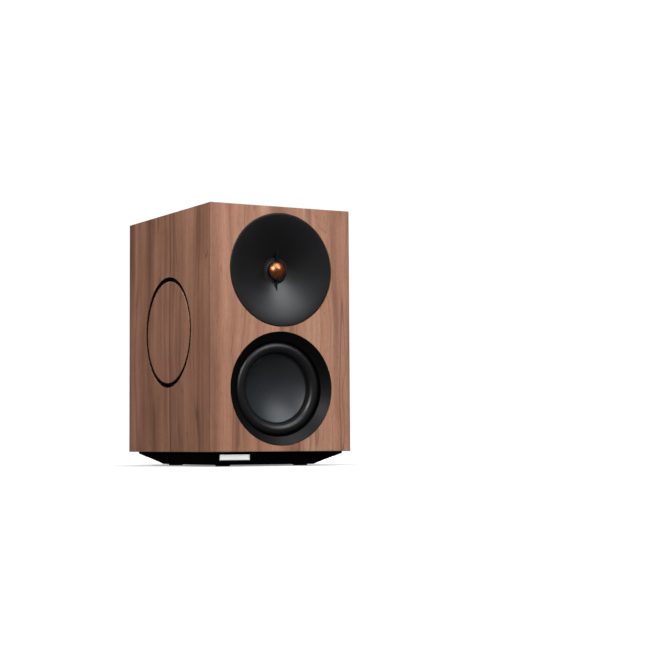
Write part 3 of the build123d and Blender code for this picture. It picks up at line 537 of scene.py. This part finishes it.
def corrugated_spider(unit):
    """Waved cloth ring between the basket and the woofer's voice coil."""
    front, back = depth_range("woofer_spider", unit)
    outer = middle("woofer_spider")[1].z
    inner = middle("woofer_voice_coil")[1].z
    start, end = outer - SPIDER_OUTER_LAND, inner + SPIDER_INNER_LAND

    def wave(share):
        return front + SPIDER_WAVE * math.sin(2 * math.pi * SPIDER_WAVES * share)

    shares = [k / SPIDER_STEPS for k in range(SPIDER_STEPS + 1)]
    line = [(start + (end - start) * share, wave(share)) for share in shares]
    cloth_line = [(outer, front), *line, (inner, front)]
    behind = [(radius, depth + back - front) for radius, depth in reversed(cloth_line)]
    segments = straight(*cloth_line, *behind, cloth_line[0])
    flexing_ring("woofer_spider", unit, segments,
                  count=12, steps=6)


def dished_cone(unit):
    """The woofer's dish: part of a sphere with a flat land for the surround, smooth to its middle."""
    front, deepest = depth_range("woofer_cone", unit)
    rim = middle("woofer_cone")[1].z
    edge = rim - WOOFER_LAND
    dish = deepest - CONE_WALL - front
    radius = (edge ** 2 + dish ** 2) / (2 * dish)
    back_radius = radius + CONE_WALL
    centre = (0.0, front + dish - radius)
    facing = math.degrees(math.acos(edge / radius))
    behind = math.degrees(math.acos(edge / back_radius))
    back_edge = centre[1] + back_radius * math.sin(math.radians(behind))
    segments = (straight((rim, front), (edge, front))
                + curved(centre, radius, facing, 90, 40, -1)
                + straight((0.0, front + dish), (0.0, deepest))
                + curved(centre, back_radius, 90, behind, 40)
                + straight((edge, back_edge), (rim, front + CONE_WALL), (rim, front)))
    cone = turned("woofer_cone_dish", "woofer_cone", segments, unit)
    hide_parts("woofer_cone")
    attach(cone, "woofer_diaphragm")


def rolled_horn(unit):
    """The flare, with its outer edge rolled over to a fine groove at the wood."""
    rim = horn_half.z - HORN_GAP
    throat = middle("tweeter_throat_ring")[1].z
    back = depth_range("tweeter_waveguide", unit)[1]
    pocket = depth_range("tweeter_surround", unit)[0] - POCKET_CLEARANCE
    pocket_wall = throat + POCKET_WIDTH
    boss = throat + HORN_BOSS_WIDTH
    shoulder = boss + HORN_SHOULDER
    edge = rim - RIM_ROLL

    def flare(radius):
        return FLARE_DEPTH * ((rim - radius) / (rim - throat)) ** FLARE_POWER

    def slope(radius):
        share = (rim - radius) / (rim - throat)
        return -FLARE_POWER * FLARE_DEPTH / (rim - throat) * share ** (FLARE_POWER - 1)

    rolled_edge = flare(edge) + RIM_ROLL
    radii = [throat + (edge - throat) * (1 - k / FLARE_STEPS) for k in range(FLARE_STEPS + 1)]
    normals = [Vector((slope(radius), -1)).normalized() for radius in radii]
    line = [(radius, flare(radius)) for radius in radii]
    surface = [(line[k], line[k + 1], normals[k], normals[k + 1]) for k in range(FLARE_STEPS)]
    segments = (curved((edge, rolled_edge), RIM_ROLL, 0, -90, 8) + surface
                + straight((throat, FLARE_DEPTH), (throat, pocket), (pocket_wall, pocket),
                           (pocket_wall, back), (boss, back), (boss, 2 * HORN_FLANGE),
                           (shoulder, HORN_FLANGE), (rim, HORN_FLANGE), (rim, rolled_edge)))
    horn = turned("tweeter_waveguide_rolled", "tweeter_waveguide", segments, unit, steps=256)
    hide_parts("tweeter_waveguide")
    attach(horn, "cabinet")


def perforated_dome(unit):
    """The fine mesh inside the guard ring: round holes on a hexagonal grid, spaced along the surface."""
    front, rim_depth = depth_range("tweeter_grille", unit)
    rim = middle("tweeter_grille")[1].z
    rise = rim_depth - front
    radius = (rim ** 2 + rise ** 2) / (2 * rise)
    reach = radius * math.asin(rim / radius)
    corner, side = MESH_PITCH / math.sqrt(3), MESH_PITCH / 2
    row_step = MESH_PITCH * math.sqrt(3) / 2
    cell = []
    for k in range(HOLE_CORNERS):
        turn = math.radians(360 / HOLE_CORNERS * k)
        cell.append((math.cos(turn), math.sin(turn), corner if k % 2 else side))
    places, vertices, faces = {}, [], []

    def point(x, y):
        run = max(math.hypot(x, y), ON_AXIS)
        kept = min(run, reach)
        key = (round(x * kept / run / MM, 3), round(y * kept / run / MM, 3))
        if key not in places:
            out = radius * math.sin(kept / radius)
            depth = front + radius * (1 - math.cos(kept / radius))
            places[key] = len(vertices)
            vertices.append(unit @ Vector((x / run * out, y / run * out, depth)))
        return places[key]

    rows = math.ceil(reach / row_step) + 1
    for row in range(-rows, rows + 1):
        for column in range(-rows - 1, rows + 2):
            x, y = MESH_PITCH * (column + row % 2 / 2), row_step * row
            if math.hypot(x, y) > reach + corner:
                continue
            border = [point(x + size * c, y + size * d) for c, d, size in cell]
            if math.hypot(x, y) < reach - MESH_HOLE - MESH_BORDER:
                hole = [point(x + MESH_HOLE * c, y + MESH_HOLE * d) for c, d, _ in cell]
                pairs = [(k, (k + 1) % HOLE_CORNERS) for k in range(HOLE_CORNERS)]
                found = [(hole[k], border[k], border[after], hole[after]) for k, after in pairs]
            else:
                found = [tuple(border)]
            for face in found:
                corners = list(dict.fromkeys(face))
                if len(corners) > 2:
                    faces.append(corners)
    mesh = bpy.data.meshes.new("tweeter_mesh_dome")
    mesh.from_pydata(vertices, [], faces)
    mesh.validate()
    mesh.materials.append(MATERIALS[SLOTS["tweeter_grille"]])
    dome = bpy.data.objects.new("tweeter_mesh_dome", mesh)
    bpy.context.scene.collection.objects.link(dome)
    thick = dome.modifiers.new("thickness", "SOLIDIFY")
    thick.thickness = MESH_THICKNESS
    thick.offset = 1.0 if mesh.polygons[0].normal.y > 0 else -1.0
    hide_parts("tweeter_grille")
    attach(dome, "cabinet")


tweeter_unit = front_unit(horn_middle.z)
woofer_unit = front_unit(trim_middle.z)
rolled_horn(tweeter_unit)
perforated_dome(tweeter_unit)
roll_surround("tweeter_surround", "tweeter_dome", tweeter_unit,
              skin=0.3 * MM, gap=0.05 * MM, land=0.02 * MM, count=12, steps=8)
roll_surround("woofer_surround", "woofer_cone", woofer_unit,
              skin=0.9 * MM, gap=0.0, land=WOOFER_LAND, count=24, steps=8)
corrugated_spider(woofer_unit)
dished_cone(woofer_unit)
for side in ("left", "right"):
    roll_surround(f"{side}_radiator_surround", f"{side}_radiator_cone",
                  side_unit(f"{side}_cover_disc"), skin=0.8 * MM, gap=0.0, land=3.5 * MM, count=16, steps=10)


# ---------------------------------------------------------------- floor, light and camera

FLOOR_RADIUS = 1.3
FLOOR_CORNERS = 96
FLOOR_GLOW = (0.26, 1.1)
FLOOR_GLOW_REACH = (0.15, 0.36)
WHITE = (1.0, 1.0, 1.0)
SEEN_WHITE = 1.05
TARGET = (0, -0.05, 0.17)

# The lamps: place, target, size, power and colour
LAMPS = {
    "key_overhead": ((0.42, -1.05, 1.45), TARGET, (1.3, 1.1), 17, (0.94, 1.0, 1.05)),
    "right_fill": ((1.1, -2.3, 1.8), TARGET, (1.2, 1.2), 14, WHITE),
    "left_fill": ((-1.35, -1.25, 1.25), (0, -0.1, 0.22), (0.8, 0.9), 37, (1.0, 0.98, 0.96)),
    "rear_fill": ((0.9, 2.3, 1.3), TARGET, (1.2, 1.2), 22, WHITE),
}

# The camera: how it is turned, in radians, then its lens and its place from the baffle's low left
# corner, both in mm
CAMERA_YAW, CAMERA_PITCH, CAMERA_ROLL = 0.5107, 0.0702, -0.00594
CAMERA_LENS = 93.0
CAMERA_FROM_CORNER = (-857.9, -1811.0, 10.0)


def staged_floor():
    """A pale disc. It glows a little more further out, so that it fades into the white behind."""
    turns = (2 * math.pi * k / FLOOR_CORNERS for k in range(FLOOR_CORNERS))
    corners = [(FLOOR_RADIUS * math.cos(a), FLOOR_RADIUS * math.sin(a), 0) for a in turns]
    mesh = bpy.data.meshes.new("studio_floor")
    mesh.from_pydata(corners, [], [tuple(range(FLOOR_CORNERS))])
    floor = bpy.data.objects.new("studio_floor", mesh)
    bpy.context.scene.collection.objects.link(floor)
    s = Shader("studio_floor", Roughness=1.0, Specular_IOR_Level=0.0)
    drift = s.noise(s.where(), 1.5, 2.0)
    away = s.add("VectorMath", s.where(), operation="LENGTH").outputs["Value"]
    s.set(Base_Color=s.ramp(drift, (0.3, (0.54, 0.54, 0.54)), (0.7, (0.56, 0.56, 0.56))),
          Emission_Color=(1.0, 1.0, 1.0), Emission_Strength=s.scale(away, *FLOOR_GLOW, *FLOOR_GLOW_REACH))
    mesh.materials.append(s.material)
    floor.visible_diffuse = False
    floor.visible_glossy = False


def softbox(name, place, target, size, power, colour):
    data = bpy.data.lights.new(name, "AREA")
    data.shape = "RECTANGLE"
    data.size, data.size_y = size
    data.energy = power
    data.color = colour
    lamp = bpy.data.objects.new(name, data)
    bpy.context.scene.collection.objects.link(lamp)
    lamp.location = place
    lamp.rotation_euler = (Vector(target) - Vector(place)).to_track_quat("-Z", "Y").to_euler()


def overhead_sun(strength, spread):
    data = bpy.data.lights.new("overhead", "SUN")
    data.energy = strength
    data.angle = math.radians(spread)
    lamp = bpy.data.objects.new("overhead", data)
    bpy.context.scene.collection.objects.link(lamp)


def world(strength):
    """White behind the object, and a dimmer white that lights it."""
    background = bpy.data.worlds.new("studio_world")
    background.use_nodes = True
    tree = background.node_tree
    light = tree.nodes["Background"]
    light.inputs["Color"].default_value = (1, 1, 1, 1)
    light.inputs["Strength"].default_value = strength
    seen = tree.nodes.new("ShaderNodeBackground")
    seen.inputs["Color"].default_value = (1, 1, 1, 1)
    seen.inputs["Strength"].default_value = SEEN_WHITE
    path = tree.nodes.new("ShaderNodeLightPath")
    mix = tree.nodes.new("ShaderNodeMixShader")
    tree.links.new(path.outputs["Is Camera Ray"], mix.inputs[0])
    tree.links.new(light.outputs[0], mix.inputs[1])
    tree.links.new(seen.outputs[0], mix.inputs[2])
    tree.links.new(mix.outputs[0], tree.nodes["World Output"].inputs["Surface"])
    bpy.context.scene.world = background


def camera():
    """A long lens a little above the base, turned to show the front and the left side."""
    yaw, pitch, roll = CAMERA_YAW, CAMERA_PITCH, CAMERA_ROLL
    forward = Vector((math.sin(yaw) * math.cos(pitch), math.cos(yaw) * math.cos(pitch), math.sin(pitch)))
    level = Vector((math.cos(yaw), -math.sin(yaw), 0))
    over = level.cross(forward)
    right = math.cos(roll) * level + math.sin(roll) * over
    up = -math.sin(roll) * level + math.cos(roll) * over
    data = bpy.data.cameras.new("camera")
    data.sensor_width = 36.0
    data.lens = CAMERA_LENS
    data.clip_start = 0.05
    view = bpy.data.objects.new("camera", data)
    bpy.context.scene.collection.objects.link(view)
    place = baffle_low + Vector(CAMERA_FROM_CORNER) * MM
    columns = Matrix((right, up, -forward)).transposed()
    view.matrix_world = Matrix.Translation(place) @ columns.to_4x4()
    bpy.context.scene.camera = view


staged_floor()
world(strength=0.13)
for lamp_name, lamp in LAMPS.items():
    softbox(lamp_name, *lamp)
overhead_sun(strength=1.8, spread=60)
camera()
bpy.context.scene.view_settings.view_transform = "Standard"
